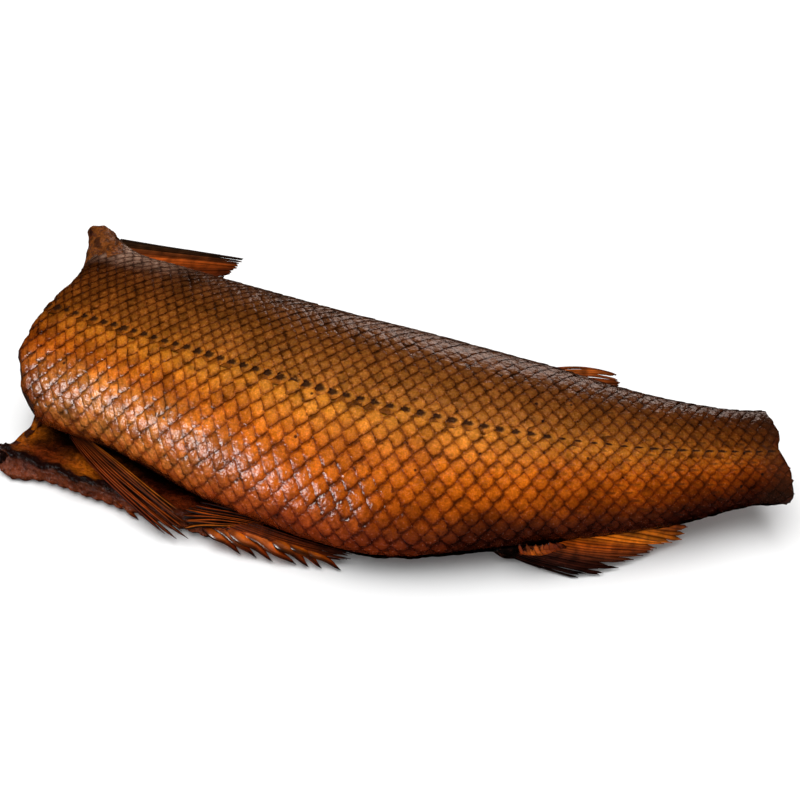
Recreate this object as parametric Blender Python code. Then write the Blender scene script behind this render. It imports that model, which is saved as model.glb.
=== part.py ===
"""A smoked fish, headed, gutted and without its tail fin, lying on its side as one solid.

The body is a loft along a gently bent line. Each section is a rolled oval that the belly slot opens: an upper
belly wall that ends in a lip, and a lower wall that lies on the table as a flap with a raised rim. The fins,
the loose belly scales and the cut end of the backbone are thin closed shapes joined to the body.

Body coordinates, in millimetres: s runs along the body from the neck cut to the tail cut, across is the
distance from the body line towards the back, and z is the height above the table. The whole part is stored
in metres with its origin under the middle of its box.

Run in Blender 4.5: blender --background --python part.py
"""

import bmesh
import bpy
import numpy as np

MM = 0.001
NAME = "smoked_fish"

# The body line: heading in degrees at places along s, and the point it passes at s = 0.
HEADING = ((-160, -17.4), (-140, -16.2), (-50, -9.4), (50, 3.4), (148, 20.9), (160, 22.5))
LINE_AT_ZERO = (-0.3, -20.6)
# Where the middle of the part's box lies from the body line's own zero.
BOX_MIDDLE = (0.9, -11.2)

# Half sizes of the oval, each as (s, size): towards the back, towards the belly, and through the flank.
BACK = ((-160, 25.0), (-140, 31.5), (-100, 41.5), (-50, 40.8), (0, 38.8), (50, 33.8), (100, 22.6),
        (130, 17.5), (148, 16.2))
BELLY = ((-160, 35.6), (-100, 35.6), (-50, 43.4), (0, 48.3), (50, 36.0), (100, 24.6), (130, 18.2),
         (148, 19.4))
FLANK = ((-160, 19.0), (-140, 22.0), (-100, 26.0), (-50, 28.0), (0, 27.0), (50, 22.0), (100, 15.0),
         (130, 10.5), (148, 9.0))
CENTRE_HEIGHT = ((-160, 24.0), (-50, 26.0), (0, 26.0), (50, 25.0), (100, 24.0), (148, 22.5))
OVAL_POWER = 2.1
ROLL = np.radians(15.0)  # the back is this much higher than the belly
SETTLE = 2.5  # how far the soft under side would reach below the table, and is pressed flat instead

# The cuts: the neck is nearly square with its belly corner cut back, the tail is square and slightly hollow.
NECK_S, NECK_SLANT, NECK_ROUNDING = -136.0, -0.11, 7.0
NECK_PULL_ACROSS, NECK_PULL_Z = 0.015, 0.031  # the share a section shrinks by, for each mm of rounding
NECK_CORNER_ACROSS, NECK_CORNER_CUT = (-24.0, -40.0), 19.0
FLAP_NECK_S = -130.5
TAIL_S, TAIL_HOLLOW = 136.5, 3.5 / 18**2

# The belly slot, from the neck to the vent.
LIP_ANGLE, UNDER_ANGLE = 186.0, 212.0
SLOT_FULL_S, SLOT_CLOSING_S, SLOT_END_S = -62.0, -34.0, 4.0
SLOT_DEPTH, SLOT_ROOF_RISE, SLOT_BACK_HEIGHT, FLOOR_DIP = 36.0, 6.0, 9.0, 4.0
FLAP_EDGE, RIM_HEIGHT, RIM_HALF_WIDTH = -49.5, 8.5, 3.0
FLAP_BLEND = 0.45  # the share of the under side over which the flap's bottom runs into the body's

# The nape: a corner of skin and bone that stands up at the front of the back.
NAPE_OUT, NAPE_UP, NAPE_FORWARD = 15.0, 12.0, 11.0
NAPE_ANGLE, NAPE_SPREAD, NAPE_LENGTH = 6.0, 22.0, 16.0

# A section is walked in five stretches: its angles on the plain oval, and how many points each has.
STRETCH_ANGLES = {"flank": (0.0, LIP_ANGLE), "roof": (LIP_ANGLE, 195.0), "floor": (195.0, 204.0),
                  "rim": (204.0, UNDER_ANGLE), "under": (UNDER_ANGLE, 360.0)}
STRETCH_POINTS = {"flank": 20, "roof": 6, "floor": 6, "rim": 4, "under": 14}
STATION_GAPS = (1.2, 1.8, 2.5, 3.5, 4.5) + (5.5,) * 45 + (3.0, 1.5)

# Loose leaf-shaped scales that hang over the flap's outer face.
SCALE_COUNT, SCALE_FIRST_S, SCALE_LAST_S = 7, -52.0, -20.0
SCALE_LENGTH, SCALE_HALF_WIDTH, SCALE_DROP, SCALE_BURIED = 17.0, 2.6, 6.6, 4.0

# The cut backbone: where its middle is, its radius, and how far it stands out of and reaches into the flesh.
SPINE_ACROSS, SPINE_HEIGHT, SPINE_RADIUS = 4.0, 25.0, 4.6
SPINE_OUT, SPINE_IN = 2.0, 8.0


# ---- formulas ----

def smooth_step(low, high, x):
    """0 below low, 1 above high, with a smooth S between."""
    k = np.clip((x - low) / (high - low), 0.0, 1.0)
    return k * k * (3 - 2 * k)


def profile(knots, s):
    """A smooth curve through (s, value) knots that doesn't overshoot them: cubic pieces whose slope at a
    knot is the harmonic mean of the slopes on its two sides, and zero where they differ in sign."""
    x, y = np.array(knots, float).T
    step = np.diff(x)
    slope = np.diff(y) / step
    left, right = slope[:-1], slope[1:]
    same = left * right > 0
    inner = np.where(same, 2 * left * right / np.where(same, left + right, 1.0), 0.0)
    tangent = np.concatenate([slope[:1], inner, slope[-1:]])
    s = np.clip(s, x[0], x[-1])
    i = np.clip(np.searchsorted(x, s) - 1, 0, len(x) - 2)
    k = (s - x[i]) / step[i]
    return ((1 + 2 * k) * (1 - k) ** 2 * y[i] + k * k * (3 - 2 * k) * y[i + 1]
            + step[i] * (k * (1 - k) ** 2 * tangent[i] - k * k * (1 - k) * tangent[i + 1]))


def place(s, across, z):
    """Body coordinates to points: the heading is summed along s into the body line, and across is laid off
    at a right angle to it. The last axis of the result is x, y, z in millimetres."""
    grid = np.linspace(-165.0, 160.0, 1301)
    heading = np.radians(profile(HEADING, grid))
    pace = np.diff(grid)
    line = []
    for part, start in ((np.cos(heading), LINE_AT_ZERO[0]), (np.sin(heading), LINE_AT_ZERO[1])):
        run = np.concatenate([[0.0], np.cumsum((part[1:] + part[:-1]) / 2 * pace)])
        line.append(run - np.interp(0.0, grid, run) + start)
    turn = np.interp(s, grid, heading)
    x = np.interp(s, grid, line[0]) - np.sin(turn) * across
    y = np.interp(s, grid, line[1]) + np.cos(turn) * across
    return np.stack([x - BOX_MIDDLE[0], y - BOX_MIDDLE[1], z + 0 * x], -1)


def oval(s, degrees):
    """(across, z) of the plain body at an angle round it: 0 is the back ridge, 90 the upper flank, 180 the
    belly line and 270 the under side, which is pressed flat on the table."""
    c, n = np.cos(np.radians(degrees)), np.sin(np.radians(degrees))
    deep = np.where(c > 0, profile(BACK, s), profile(BELLY, s)) * np.sign(c) * np.abs(c) ** (2 / OVAL_POWER)
    settled = np.where(n < 0, SETTLE * (1 - smooth_step(40, 80, s)), 0.0)
    thick = (profile(FLANK, s) + settled) * np.sign(n) * np.abs(n) ** (2 / OVAL_POWER)
    z = profile(CENTRE_HEIGHT, s) + deep * np.sin(ROLL) + thick * np.cos(ROLL)
    return deep * np.cos(ROLL) - thick * np.sin(ROLL), np.maximum(z, 0.0)


def at_nape(degrees):
    """1 on the nape's own line, fading to 0 round the body: a bell of the angle between them."""
    return np.exp(-(((degrees - NAPE_ANGLE + 180.0) % 360.0 - 180.0) / NAPE_SPREAD) ** 2)


def skin(s, degrees, neck_gap):
    """(across, z) of the plain body with its front edge rounded over and its nape corner raised. neck_gap is
    the distance from the neck cut."""
    across, z = oval(s, degrees)
    inside = NECK_ROUNDING - np.clip(neck_gap, 0.0, NECK_ROUNDING)
    drawn_in = NECK_ROUNDING - np.sqrt(NECK_ROUNDING**2 - inside**2)
    middle = profile(CENTRE_HEIGHT, s)
    across = across * (1 - NECK_PULL_ACROSS * drawn_in)
    z = np.where(z > 0, middle + (z - middle) * (1 - NECK_PULL_Z * drawn_in), z)
    nape = np.exp(-(neck_gap / NAPE_LENGTH) ** 2) * at_nape(degrees)
    return across + NAPE_OUT * nape, z + NAPE_UP * nape


def angles(name, k):
    """The angles on the plain oval of places k, from 0 to 1, along one stretch."""
    first, last = STRETCH_ANGLES[name]
    return first + (last - first) * k


def stretch(name, k, s, neck_gap):
    """(across, z) on one stretch of the section at s. Where the slot is shut every stretch lies on the oval,
    and where it is open the roof and the floor of the belly run in to the back of the slot and out again."""
    shut = skin(s, angles(name, k), neck_gap)
    if name == "flank":
        return shut
    is_open = 1 - smooth_step(SLOT_CLOSING_S, SLOT_END_S, s)
    lip = skin(s, LIP_ANGLE, neck_gap)
    share = 1 - smooth_step(SLOT_FULL_S, SLOT_END_S, s)
    depth = SLOT_DEPTH * share
    inmost = (lip[0] + depth, np.full_like(s, SLOT_BACK_HEIGHT))
    rim_top = (FLAP_EDGE + RIM_HALF_WIDTH, RIM_HEIGHT)
    wave = np.sin(np.pi * k)
    if name == "roof":
        across = lip[0] + (inmost[0] - lip[0]) * k
        z = lip[1] + (inmost[1] - lip[1]) * k + SLOT_ROOF_RISE * share * wave
    elif name == "floor":
        across = inmost[0] + (rim_top[0] - inmost[0]) * k
        z = inmost[1] + (rim_top[1] - inmost[1]) * k - FLOOR_DIP * share * wave
    elif name == "rim":
        turn = np.pi * (0.5 - k)
        across = FLAP_EDGE + RIM_HALF_WIDTH * (1 - np.cos(turn))
        z = RIM_HEIGHT / 2 * (1 + np.sin(turn))
    else:
        start = skin(s, UNDER_ANGLE, neck_gap)
        fade = 1 - smooth_step(0.0, FLAP_BLEND, k)
        across = shut[0] + (FLAP_EDGE + RIM_HALF_WIDTH - start[0]) * fade
        z = shut[1] - start[1] * fade
    return (shut[0] + (across - shut[0]) * is_open,
            np.maximum(shut[1] + (z - shut[1]) * is_open, 0.0))


def neck_line(name, k):
    """The s of the neck cut on one stretch: a slanting cut whose belly corner is cut back, except that the
    lower flap ends square."""
    nominal = np.full_like(k, NECK_S)
    across, _ = stretch(name, k, nominal, np.full_like(k, 3 * NAPE_LENGTH))
    slanted = NECK_S - NECK_SLANT * across + NECK_CORNER_CUT * smooth_step(*NECK_CORNER_ACROSS, across)
    flap = {"flank": 0 * k, "roof": 0 * k, "floor": smooth_step(0, 1, k), "rim": 1 + 0 * k,
            "under": 1 - smooth_step(0, FLAP_BLEND, k)}[name]
    nape = NAPE_FORWARD * at_nape(angles(name, k)) if name in ("flank", "under") else 0.0
    return slanted + (FLAP_NECK_S - slanted) * flap - nape


def body_points():
    """The loft's points, stations by girth: every girth line runs from the neck cut to the tail cut."""
    along = np.concatenate([[0.0], np.cumsum(STATION_GAPS)])
    along = (along / along[-1])[:, None]
    columns = []
    for name, count in STRETCH_POINTS.items():
        k = np.arange(count)[None, :] / count
        neck = neck_line(name, k)
        tail_across, _ = stretch(name, k, np.full_like(k, TAIL_S), np.full_like(k, 270.0))
        tail = TAIL_S + TAIL_HOLLOW * tail_across**2
        s = neck + (tail - neck) * along
        across, z = stretch(name, k + 0 * s, s, s - neck)
        columns.append(place(s, across, z))
    return np.concatenate(columns, 1)


# ---- meshes ----

def new_object(name, points, faces, collection):
    """An object of the given points in millimetres, with its faces turned outwards."""
    mesh = bpy.data.meshes.new(name)
    mesh.from_pydata((np.asarray(points) * MM).tolist(), [], faces)
    shape = bmesh.new()
    shape.from_mesh(mesh)
    bmesh.ops.recalc_face_normals(shape, faces=shape.faces)
    shape.to_mesh(mesh)
    shape.free()
    obj = bpy.data.objects.new(name, mesh)
    collection.objects.link(obj)
    return obj


def tube_faces(rows, columns):
    """Faces of an open tube of rows by columns points."""
    faces = []
    for row in range(rows - 1):
        for column in range(columns):
            after = (column + 1) % columns
            faces.append((row * columns + column, row * columns + after,
                          (row + 1) * columns + after, (row + 1) * columns + column))
    return faces


def cut_faces(rows, columns):
    """One face on each end of a tube, as a knife leaves it."""
    return [tuple(first + column for column in range(columns)) for first in (0, (rows - 1) * columns)]


def edge_faces(rows, columns):
    """The ends of a flattened tube, closed by a strip from each point to the one facing it."""
    return [(first + column, first + column + 1, first + columns - 2 - column, first + columns - 1 - column)
            for first in (0, (rows - 1) * columns) for column in range(columns // 2 - 1)]


def slab(name, outer, inner, collection):
    """A closed thin shape between two grids of points, joined round their edges. Each row of the outer grid
    and the same row of the inner one, walked back, make one ring of a tube."""
    rings = np.concatenate([outer, inner[:, ::-1]], 1)
    rows, columns = rings.shape[:2]
    faces = tube_faces(rows, columns) + edge_faces(rows, columns)
    return new_object(name, rings.reshape(-1, 3), faces, collection)


def fin(name, root, tips, collection, arch=0.0, thick=(2.4, 1.0), frayed=2.0, rays=9):
    """A fan of rays from a root line to a tip line, each a short list of (s, across, z). The rays bow upwards
    by arch, every other ray is shorter by frayed, and the fan thins from root to tip."""
    across_fan = np.linspace(0, 1, rays)
    ends = []
    for line in (root, tips):
        corners = np.array(line, float)
        at = np.linspace(0, 1, len(corners))
        ends.append(np.stack([np.interp(across_fan, at, corners[:, axis]) for axis in range(3)], -1))
    reach = np.linalg.norm(ends[1] - ends[0], axis=-1)
    cut = 1 - frayed * (np.arange(rays) % 2) / reach
    along = np.linspace(0, 1, 5)[:, None]
    share = (along * cut)[..., None]
    points = ends[0] + (ends[1] - ends[0]) * share
    points[..., 2] += arch * 4 * along * (1 - along)
    s, across, z = np.moveaxis(points, -1, 0)
    under = z - (thick[0] + (thick[1] - thick[0]) * along)
    slab(name, place(s, across, z), place(s, across, under), collection)


def loose_scales(collection):
    """Long leaf-shaped scales that hang one over another from the flap's rim down its outer face."""
    along = np.linspace(0, 1, 6)[:, None]
    side = np.array([-1.0, 0.0, 1.0])[None, :]
    for number in range(SCALE_COUNT):
        start = SCALE_FIRST_S + (SCALE_LAST_S - SCALE_FIRST_S) * number / (SCALE_COUNT - 1)
        s = start + SCALE_LENGTH * along + 0 * side
        width = SCALE_HALF_WIDTH * np.sin(np.pi * np.clip(0.12 + 0.86 * along, 0, 1)) ** 0.6
        z = np.maximum(RIM_HEIGHT - SCALE_DROP * along**1.3 + width * side, 0.6)
        across = FLAP_EDGE + 2.7 - 4.0 * np.sin(np.pi / 2 * along) - 0.5 * (1 - side**2)
        buried = place(s, across + SCALE_BURIED, z - 0.2 * SCALE_BURIED)
        slab(f"loose_scale_{number + 1}", place(s, across, z), buried, collection)


def backbone(collection):
    """The cut end of the backbone, a short peg that stands a little out of the neck cut."""
    s = NECK_S - NECK_SLANT * SPINE_ACROSS
    ends = place(np.array([s - SPINE_OUT, s + SPINE_IN]), SPINE_ACROSS, SPINE_HEIGHT) * MM
    length = (SPINE_OUT + SPINE_IN) * MM
    bpy.ops.mesh.primitive_cylinder_add(vertices=16, radius=SPINE_RADIUS * MM, depth=length)
    peg = bpy.context.object
    peg.name = "backbone"
    run = ends[1] - ends[0]
    peg.location = (ends[0] + ends[1]) / 2
    peg.rotation_euler = (0.0, np.pi / 2, np.arctan2(run[1], run[0]))
    for other in list(peg.users_collection):
        other.objects.unlink(peg)
    collection.objects.link(peg)


def fins(collection):
    """Each fin as its root line and its tip line in body coordinates."""
    fin("dorsal_fin", [(-141, 34, 31), (-84, 31, 31)],
        [(-132, 48, 37), (-113, 52.5, 38), (-85.5, 57.5, 39), (-84, 52.5, 38.5), (-81, 44, 37.5)], collection)
    fin("rear_dorsal_fin", [(54, 24, 29), (80, 18, 28)],
        [(62, 35.5, 33), (81, 35, 33), (84, 29, 32)], collection, rays=7)
    fin("pectoral_fin", [(-119, -27, 6.5), (-109, -22, 6.5)],
        [(-58, -56, 4), (-56, -52, 5), (-61, -47, 8), (-66, -43, 8.5)], collection,
        arch=3.0, thick=(3.6, 1.4))
    fin("front_pelvic_fin", [(-27, -45, 9), (-27, -38, 9)],
        [(-54, -53, 9.5), (-59, -46, 11), (-60, -40, 11)], collection, arch=1.5, thick=(3.6, 1.6), rays=7)
    fin("rear_pelvic_fin", [(-46, -43, 9), (-40, -47.5, 9)],
        [(-4, -46, 8), (-4, -49.5, 5.5), (-13, -52.5, 4)], collection, arch=2.0, thick=(3.2, 2.0), rays=7)
    fin("anal_fin", [(45, -26, 14), (90, -15, 17)],
        [(60, -35, 4), (72, -38, 1.6), (81, -33, 3.5), (92, -28, 6), (104, -21, 9)], collection,
        frayed=2.6, rays=11)


def coat(obj):
    """Oily smoked skin, golden brown and half glossy."""
    material = bpy.data.materials.new("smoked_skin")
    material.use_nodes = True
    surface = material.node_tree.nodes["Principled BSDF"]
    surface.inputs["Base Color"].default_value = (0.36, 0.13, 0.03, 1.0)
    surface.inputs["Roughness"].default_value = 0.38
    surface.inputs["Metallic"].default_value = 0.0
    obj.data.materials.append(material)


def main():
    for obj in list(bpy.data.objects):
        bpy.data.objects.remove(obj, do_unlink=True)
    part = bpy.data.collections.new(NAME)
    joined = bpy.data.collections.new("joined_shapes")
    for collection in (part, joined):
        bpy.context.scene.collection.children.link(collection)
    points = body_points()
    rows, columns = points.shape[:2]
    faces = tube_faces(rows, columns) + cut_faces(rows, columns)
    body = new_object(NAME, points.reshape(-1, 3), faces, part)
    fins(joined)
    loose_scales(joined)
    backbone(joined)
    for helper in joined.objects:
        helper.hide_render = True
        helper.display_type = "WIRE"
    union = body.modifiers.new("fins and scales", "BOOLEAN")
    union.operation = "UNION"
    union.solver = "EXACT"
    union.operand_type = "COLLECTION"
    union.collection = joined
    joined.hide_render = True
    coat(body)
    body.data.shade_smooth()
    body.data.set_sharp_from_angle(angle=np.radians(40))


main()
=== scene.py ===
from functools import partial

import bpy
import numpy as np
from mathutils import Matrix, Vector


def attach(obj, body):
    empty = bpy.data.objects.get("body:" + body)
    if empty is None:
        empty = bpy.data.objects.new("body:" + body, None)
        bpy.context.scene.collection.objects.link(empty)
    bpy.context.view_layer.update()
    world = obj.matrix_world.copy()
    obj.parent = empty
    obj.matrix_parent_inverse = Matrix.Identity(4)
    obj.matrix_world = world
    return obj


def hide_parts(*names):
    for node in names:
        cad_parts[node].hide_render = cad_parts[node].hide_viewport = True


# The looks of a smoked fish: headed, gutted, its tail fin cut off, lying on its side.
#
# Every surface is worked out in body coordinates, in millimetres: s runs along the body from the neck cut
# to the tail cut, across is the distance from the body line towards the back, and z is the height above the
# table.

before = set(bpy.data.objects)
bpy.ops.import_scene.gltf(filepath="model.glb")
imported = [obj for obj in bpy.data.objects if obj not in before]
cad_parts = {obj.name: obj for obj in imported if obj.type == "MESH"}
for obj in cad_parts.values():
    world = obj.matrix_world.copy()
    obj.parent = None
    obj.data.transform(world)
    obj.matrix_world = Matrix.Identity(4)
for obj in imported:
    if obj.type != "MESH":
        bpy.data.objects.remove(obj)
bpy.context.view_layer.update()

MM = 0.001
NODE = "smoked_fish"

# ---- the body, by the same formulas and sizes as the solid ----

HEADING = ((-160, -17.4), (-140, -16.2), (-50, -9.4), (50, 3.4), (148, 20.9), (160, 22.5))
LINE_AT_ZERO = (-0.3, -20.6)
LINE_START, LINE_END, LINE_POINTS = -165.0, 160.0, 1301
BOX_MIDDLE = (0.9, -11.2)
BACK = ((-160, 25.0), (-140, 31.5), (-100, 41.5), (-50, 40.8), (0, 38.8), (50, 33.8), (100, 22.6),
        (130, 17.5), (148, 16.2))
BELLY = ((-160, 35.6), (-100, 35.6), (-50, 43.4), (0, 48.3), (50, 36.0), (100, 24.6), (130, 18.2),
         (148, 19.4))
FLANK = ((-160, 19.0), (-140, 22.0), (-100, 26.0), (-50, 28.0), (0, 27.0), (50, 22.0), (100, 15.0),
         (130, 10.5), (148, 9.0))
CENTRE_HEIGHT = ((-160, 24.0), (-50, 26.0), (0, 26.0), (50, 25.0), (100, 24.0), (148, 22.5))
OVAL_POWER = 2.1
ROLL = np.radians(15.0)
SETTLE = 2.5
NECK_S, NECK_SLANT, NECK_ROUNDING = -136.0, -0.11, 7.0
NECK_PULL_ACROSS, NECK_PULL_Z = 0.015, 0.031
NECK_CORNER_ACROSS, NECK_CORNER_CUT = (-24.0, -40.0), 19.0
FLAP_NECK_S = -130.5
TAIL_S, TAIL_HOLLOW = 136.5, 3.5 / 18**2
LIP_ANGLE, UNDER_ANGLE = 186.0, 212.0
SLOT_FULL_S, SLOT_CLOSING_S, SLOT_END_S = -62.0, -34.0, 4.0
SLOT_DEPTH, SLOT_ROOF_RISE, SLOT_BACK_HEIGHT, FLOOR_DIP = 36.0, 6.0, 9.0, 4.0
FLAP_EDGE, RIM_HEIGHT, RIM_HALF_WIDTH = -49.5, 8.5, 3.0
FLAP_BLEND = 0.45
NAPE_OUT, NAPE_UP, NAPE_FORWARD = 15.0, 11.0, 15.0
NAPE_ANGLE, NAPE_SPREAD, NAPE_LENGTH = 6.0, 26.0, 20.0
# How far the skin's torn edges lie off the cuts, by the angle round the body, and how ragged they are.
NECK_TRIM = ((0, 0.0), (37, 0.0), (74, 2.2), (95, 1.9), (115, 3.0), (130, 3.0), (140, 0.8), (151, -2.0),
             (167, 0.0), (186, 0.5))
TAIL_TRIM = ((0, 0.0), (40, 0.3), (60, 1.6), (76, 2.6), (86, 2.2), (95, 0.5), (110, 1.3), (124, 1.6),
             (140, 0.6), (158, 0.3), (186, 0.0))
RAGGED, FLAP_RAGGED = 0.55, 1.5
# The five stretches of the section, by their angles on the plain oval.
STRETCH_ANGLES = {"flank": (0.0, LIP_ANGLE), "roof": (LIP_ANGLE, 195.0), "floor": (195.0, 204.0),
                  "rim": (204.0, UNDER_ANGLE), "under": (UNDER_ANGLE, 360.0)}

# Scales: the gap from one to the next along a row, at places along s, and the distance between the rows as a
# share of it. Above the lateral line the rows follow it. Below it the scales are larger, and the rows run
# down towards the belly while the body deepens: DESCENT is how far a row has to go before it levels out.
GAP_ABOVE = ((-140, 4.2), (-60, 4.5), (-20, 4.8), (20, 5.3), (60, 5.2), (100, 4.8), (140, 4.2))
GAP_BELOW = ((-140, 4.9), (-60, 5.5), (-20, 6.0), (30, 5.9), (60, 5.4), (100, 4.8), (140, 4.2))
ROWS_ABOVE = ((-140, 0.66), (140, 0.62))
ROWS_BELOW = ((-140, 0.88), (0, 0.84), (60, 0.68), (100, 0.60), (140, 0.60))
DESCENT = ((-160, 36.0), (-100, 22.0), (-20, 6.0), (40, 0.0), (160, 0.0))
SQUEEZE, SQUEEZE_REACH = 3.75, 15.0
LATERAL_ANGLE = ((-140, 90.5), (0, 96.0), (140, 101.0))


def smooth_step(low, high, x):
    """0 below low, 1 above high, with a smooth S between."""
    k = np.clip((x - low) / (high - low), 0.0, 1.0)
    return k * k * (3 - 2 * k)


def profile(knots, s):
    """A smooth curve through (s, value) knots that doesn't overshoot them: cubic pieces whose slope at a
    knot is the harmonic mean of the slopes on its two sides, and zero where they differ in sign."""
    x, y = np.array(knots, float).T
    step = np.diff(x)
    slope = np.diff(y) / step
    left, right = slope[:-1], slope[1:]
    same = left * right > 0
    inner = np.where(same, 2 * left * right / np.where(same, left + right, 1.0), 0.0)
    tangent = np.concatenate([slope[:1], inner, slope[-1:]])
    s = np.clip(s, x[0], x[-1])
    i = np.clip(np.searchsorted(x, s) - 1, 0, len(x) - 2)
    k = (s - x[i]) / step[i]
    return ((1 + 2 * k) * (1 - k) ** 2 * y[i] + k * k * (3 - 2 * k) * y[i + 1]
            + step[i] * (k * (1 - k) ** 2 * tangent[i] - k * k * (1 - k) * tangent[i + 1]))


def place(s, across, z):
    """Body coordinates to points in millimetres: the heading summed along s gives the body line, and across
    is laid off at a right angle to it."""
    grid = np.linspace(LINE_START, LINE_END, LINE_POINTS)
    heading = np.radians(profile(HEADING, grid))
    pace = np.diff(grid)
    line = []
    for part, start in ((np.cos(heading), LINE_AT_ZERO[0]), (np.sin(heading), LINE_AT_ZERO[1])):
        run = np.concatenate([[0.0], np.cumsum((part[1:] + part[:-1]) / 2 * pace)])
        line.append(run - np.interp(0.0, grid, run) + start)
    turn = np.interp(s, grid, heading)
    x = np.interp(s, grid, line[0]) - np.sin(turn) * across
    y = np.interp(s, grid, line[1]) + np.cos(turn) * across
    return np.stack([x - BOX_MIDDLE[0], y - BOX_MIDDLE[1], z + 0 * x], -1)


def oval(s, degrees):
    """(across, z) of the plain body at an angle round it: 0 is the back ridge, 90 the upper flank, 180 the
    belly line and 270 the under side, which is pressed flat on the table."""
    c, n = np.cos(np.radians(degrees)), np.sin(np.radians(degrees))
    deep = np.where(c > 0, profile(BACK, s), profile(BELLY, s)) * np.sign(c) * np.abs(c) ** (2 / OVAL_POWER)
    settled = np.where(n < 0, SETTLE * (1 - smooth_step(40, 80, s)), 0.0)
    thick = (profile(FLANK, s) + settled) * np.sign(n) * np.abs(n) ** (2 / OVAL_POWER)
    z = profile(CENTRE_HEIGHT, s) + deep * np.sin(ROLL) + thick * np.cos(ROLL)
    return deep * np.cos(ROLL) - thick * np.sin(ROLL), np.maximum(z, 0.0)


def at_nape(degrees):
    """1 on the nape's own line, fading to 0 round the body: a bell of the angle between them."""
    return np.exp(-(((degrees - NAPE_ANGLE + 180.0) % 360.0 - 180.0) / NAPE_SPREAD) ** 2)


def skin(s, degrees, neck_gap):
    """(across, z) of the plain body with its front edge rounded over and its nape corner raised. neck_gap is
    the distance from the neck cut."""
    across, z = oval(s, degrees)
    inside = NECK_ROUNDING - np.clip(neck_gap, 0.0, NECK_ROUNDING)
    drawn_in = NECK_ROUNDING - np.sqrt(NECK_ROUNDING**2 - inside**2)
    middle = profile(CENTRE_HEIGHT, s)
    across = across * (1 - NECK_PULL_ACROSS * drawn_in)
    z = np.where(z > 0, middle + (z - middle) * (1 - NECK_PULL_Z * drawn_in), z)
    nape = np.exp(-(neck_gap / NAPE_LENGTH) ** 2) * at_nape(degrees)
    return across + NAPE_OUT * nape, z + NAPE_UP * nape


def angles(name, k):
    """The angles on the plain oval of places k, from 0 to 1, along one stretch."""
    first, last = STRETCH_ANGLES[name]
    return first + (last - first) * k


def stretch(name, k, s, neck_gap):
    """(across, z) on one stretch of the section at s. Where the slot is shut every stretch lies on the oval,
    and where it is open the roof and the floor of the belly run in to the back of the slot and out again."""
    shut = skin(s, angles(name, k), neck_gap)
    if name == "flank":
        return shut
    is_open = 1 - smooth_step(SLOT_CLOSING_S, SLOT_END_S, s)
    lip = skin(s, LIP_ANGLE, neck_gap)
    share = 1 - smooth_step(SLOT_FULL_S, SLOT_END_S, s)
    depth = SLOT_DEPTH * share
    inmost = (lip[0] + depth, np.full_like(s, SLOT_BACK_HEIGHT))
    rim_top = (FLAP_EDGE + RIM_HALF_WIDTH, RIM_HEIGHT)
    wave = np.sin(np.pi * k)
    if name == "roof":
        across = lip[0] + (inmost[0] - lip[0]) * k
        z = lip[1] + (inmost[1] - lip[1]) * k + SLOT_ROOF_RISE * share * wave
    elif name == "floor":
        across = inmost[0] + (rim_top[0] - inmost[0]) * k
        z = inmost[1] + (rim_top[1] - inmost[1]) * k - FLOOR_DIP * share * wave
    elif name == "rim":
        turn = np.pi * (0.5 - k)
        across = FLAP_EDGE + RIM_HALF_WIDTH * (1 - np.cos(turn))
        z = RIM_HEIGHT / 2 * (1 + np.sin(turn))
    else:
        start = skin(s, UNDER_ANGLE, neck_gap)
        fade = 1 - smooth_step(0.0, FLAP_BLEND, k)
        across = shut[0] + (FLAP_EDGE + RIM_HALF_WIDTH - start[0]) * fade
        z = shut[1] - start[1] * fade
    return (shut[0] + (across - shut[0]) * is_open,
            np.maximum(shut[1] + (z - shut[1]) * is_open, 0.0))


def neck_line(name, k):
    """The s of the neck cut on one stretch: a slanting cut whose belly corner is cut back, except that the
    lower flap ends square. The skin's edge is torn, most in the middle of the flank, and so is the flap's."""
    degrees = angles(name, k)
    nominal = np.full_like(k, NECK_S)
    across, _ = stretch(name, k, nominal, np.full_like(k, 3 * NAPE_LENGTH))
    slanted = NECK_S - NECK_SLANT * across + NECK_CORNER_CUT * smooth_step(*NECK_CORNER_ACROSS, across)
    flap = {"flank": 0 * k, "roof": 0 * k, "floor": smooth_step(0, 1, k), "rim": 1 + 0 * k,
            "under": 1 - smooth_step(0, FLAP_BLEND, k)}[name]
    nape = NAPE_FORWARD * at_nape(degrees) if name in ("flank", "under") else 0.0
    if name == "flank":
        torn = ripple(degrees, 0 * k, 9.0, 61) + 0.6 * ripple(degrees, 0 * k, 3.2, 62)
        trim = profile(NECK_TRIM, degrees) + RAGGED * torn * np.sin(np.radians(degrees)) ** 2
    else:
        trim = FLAP_RAGGED * ripple(k, 0 * k, 0.3, 63) * np.sin(np.pi * k) * flap
    return slanted + (FLAP_NECK_S - slanted) * flap - nape + trim


def tail_line(name, k):
    """The s of the tail cut on one stretch: a square cut, slightly hollow in the middle."""
    across, _ = stretch(name, k, np.full_like(k, TAIL_S), np.full_like(k, 270.0))
    trim = profile(TAIL_TRIM, angles(name, k)) if name == "flank" else 0.0
    return TAIL_S + TAIL_HOLLOW * across**2 + trim


def surface(name, k, s):
    """The point of one stretch of the body at k and s, as x, y, z in millimetres."""
    across, z = stretch(name, k, s, s - neck_line(name, k))
    return place(s, across, z)


def outward(name, k, s):
    """The unit normal there: the cross product of the two small steps along k and s."""
    dk, ds = 0.002, 0.2
    round_it = surface(name, k + dk, s) - surface(name, k - dk, s)
    along_it = surface(name, k, s + ds) - surface(name, k, s - ds)
    normal = np.cross(round_it, along_it)
    return normal / np.maximum(np.linalg.norm(normal, axis=-1, keepdims=True), 1e-9)


# ---- small tools ----

RIPPLE_WAVES, RIPPLE_GAIN = 7, 1.8


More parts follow.
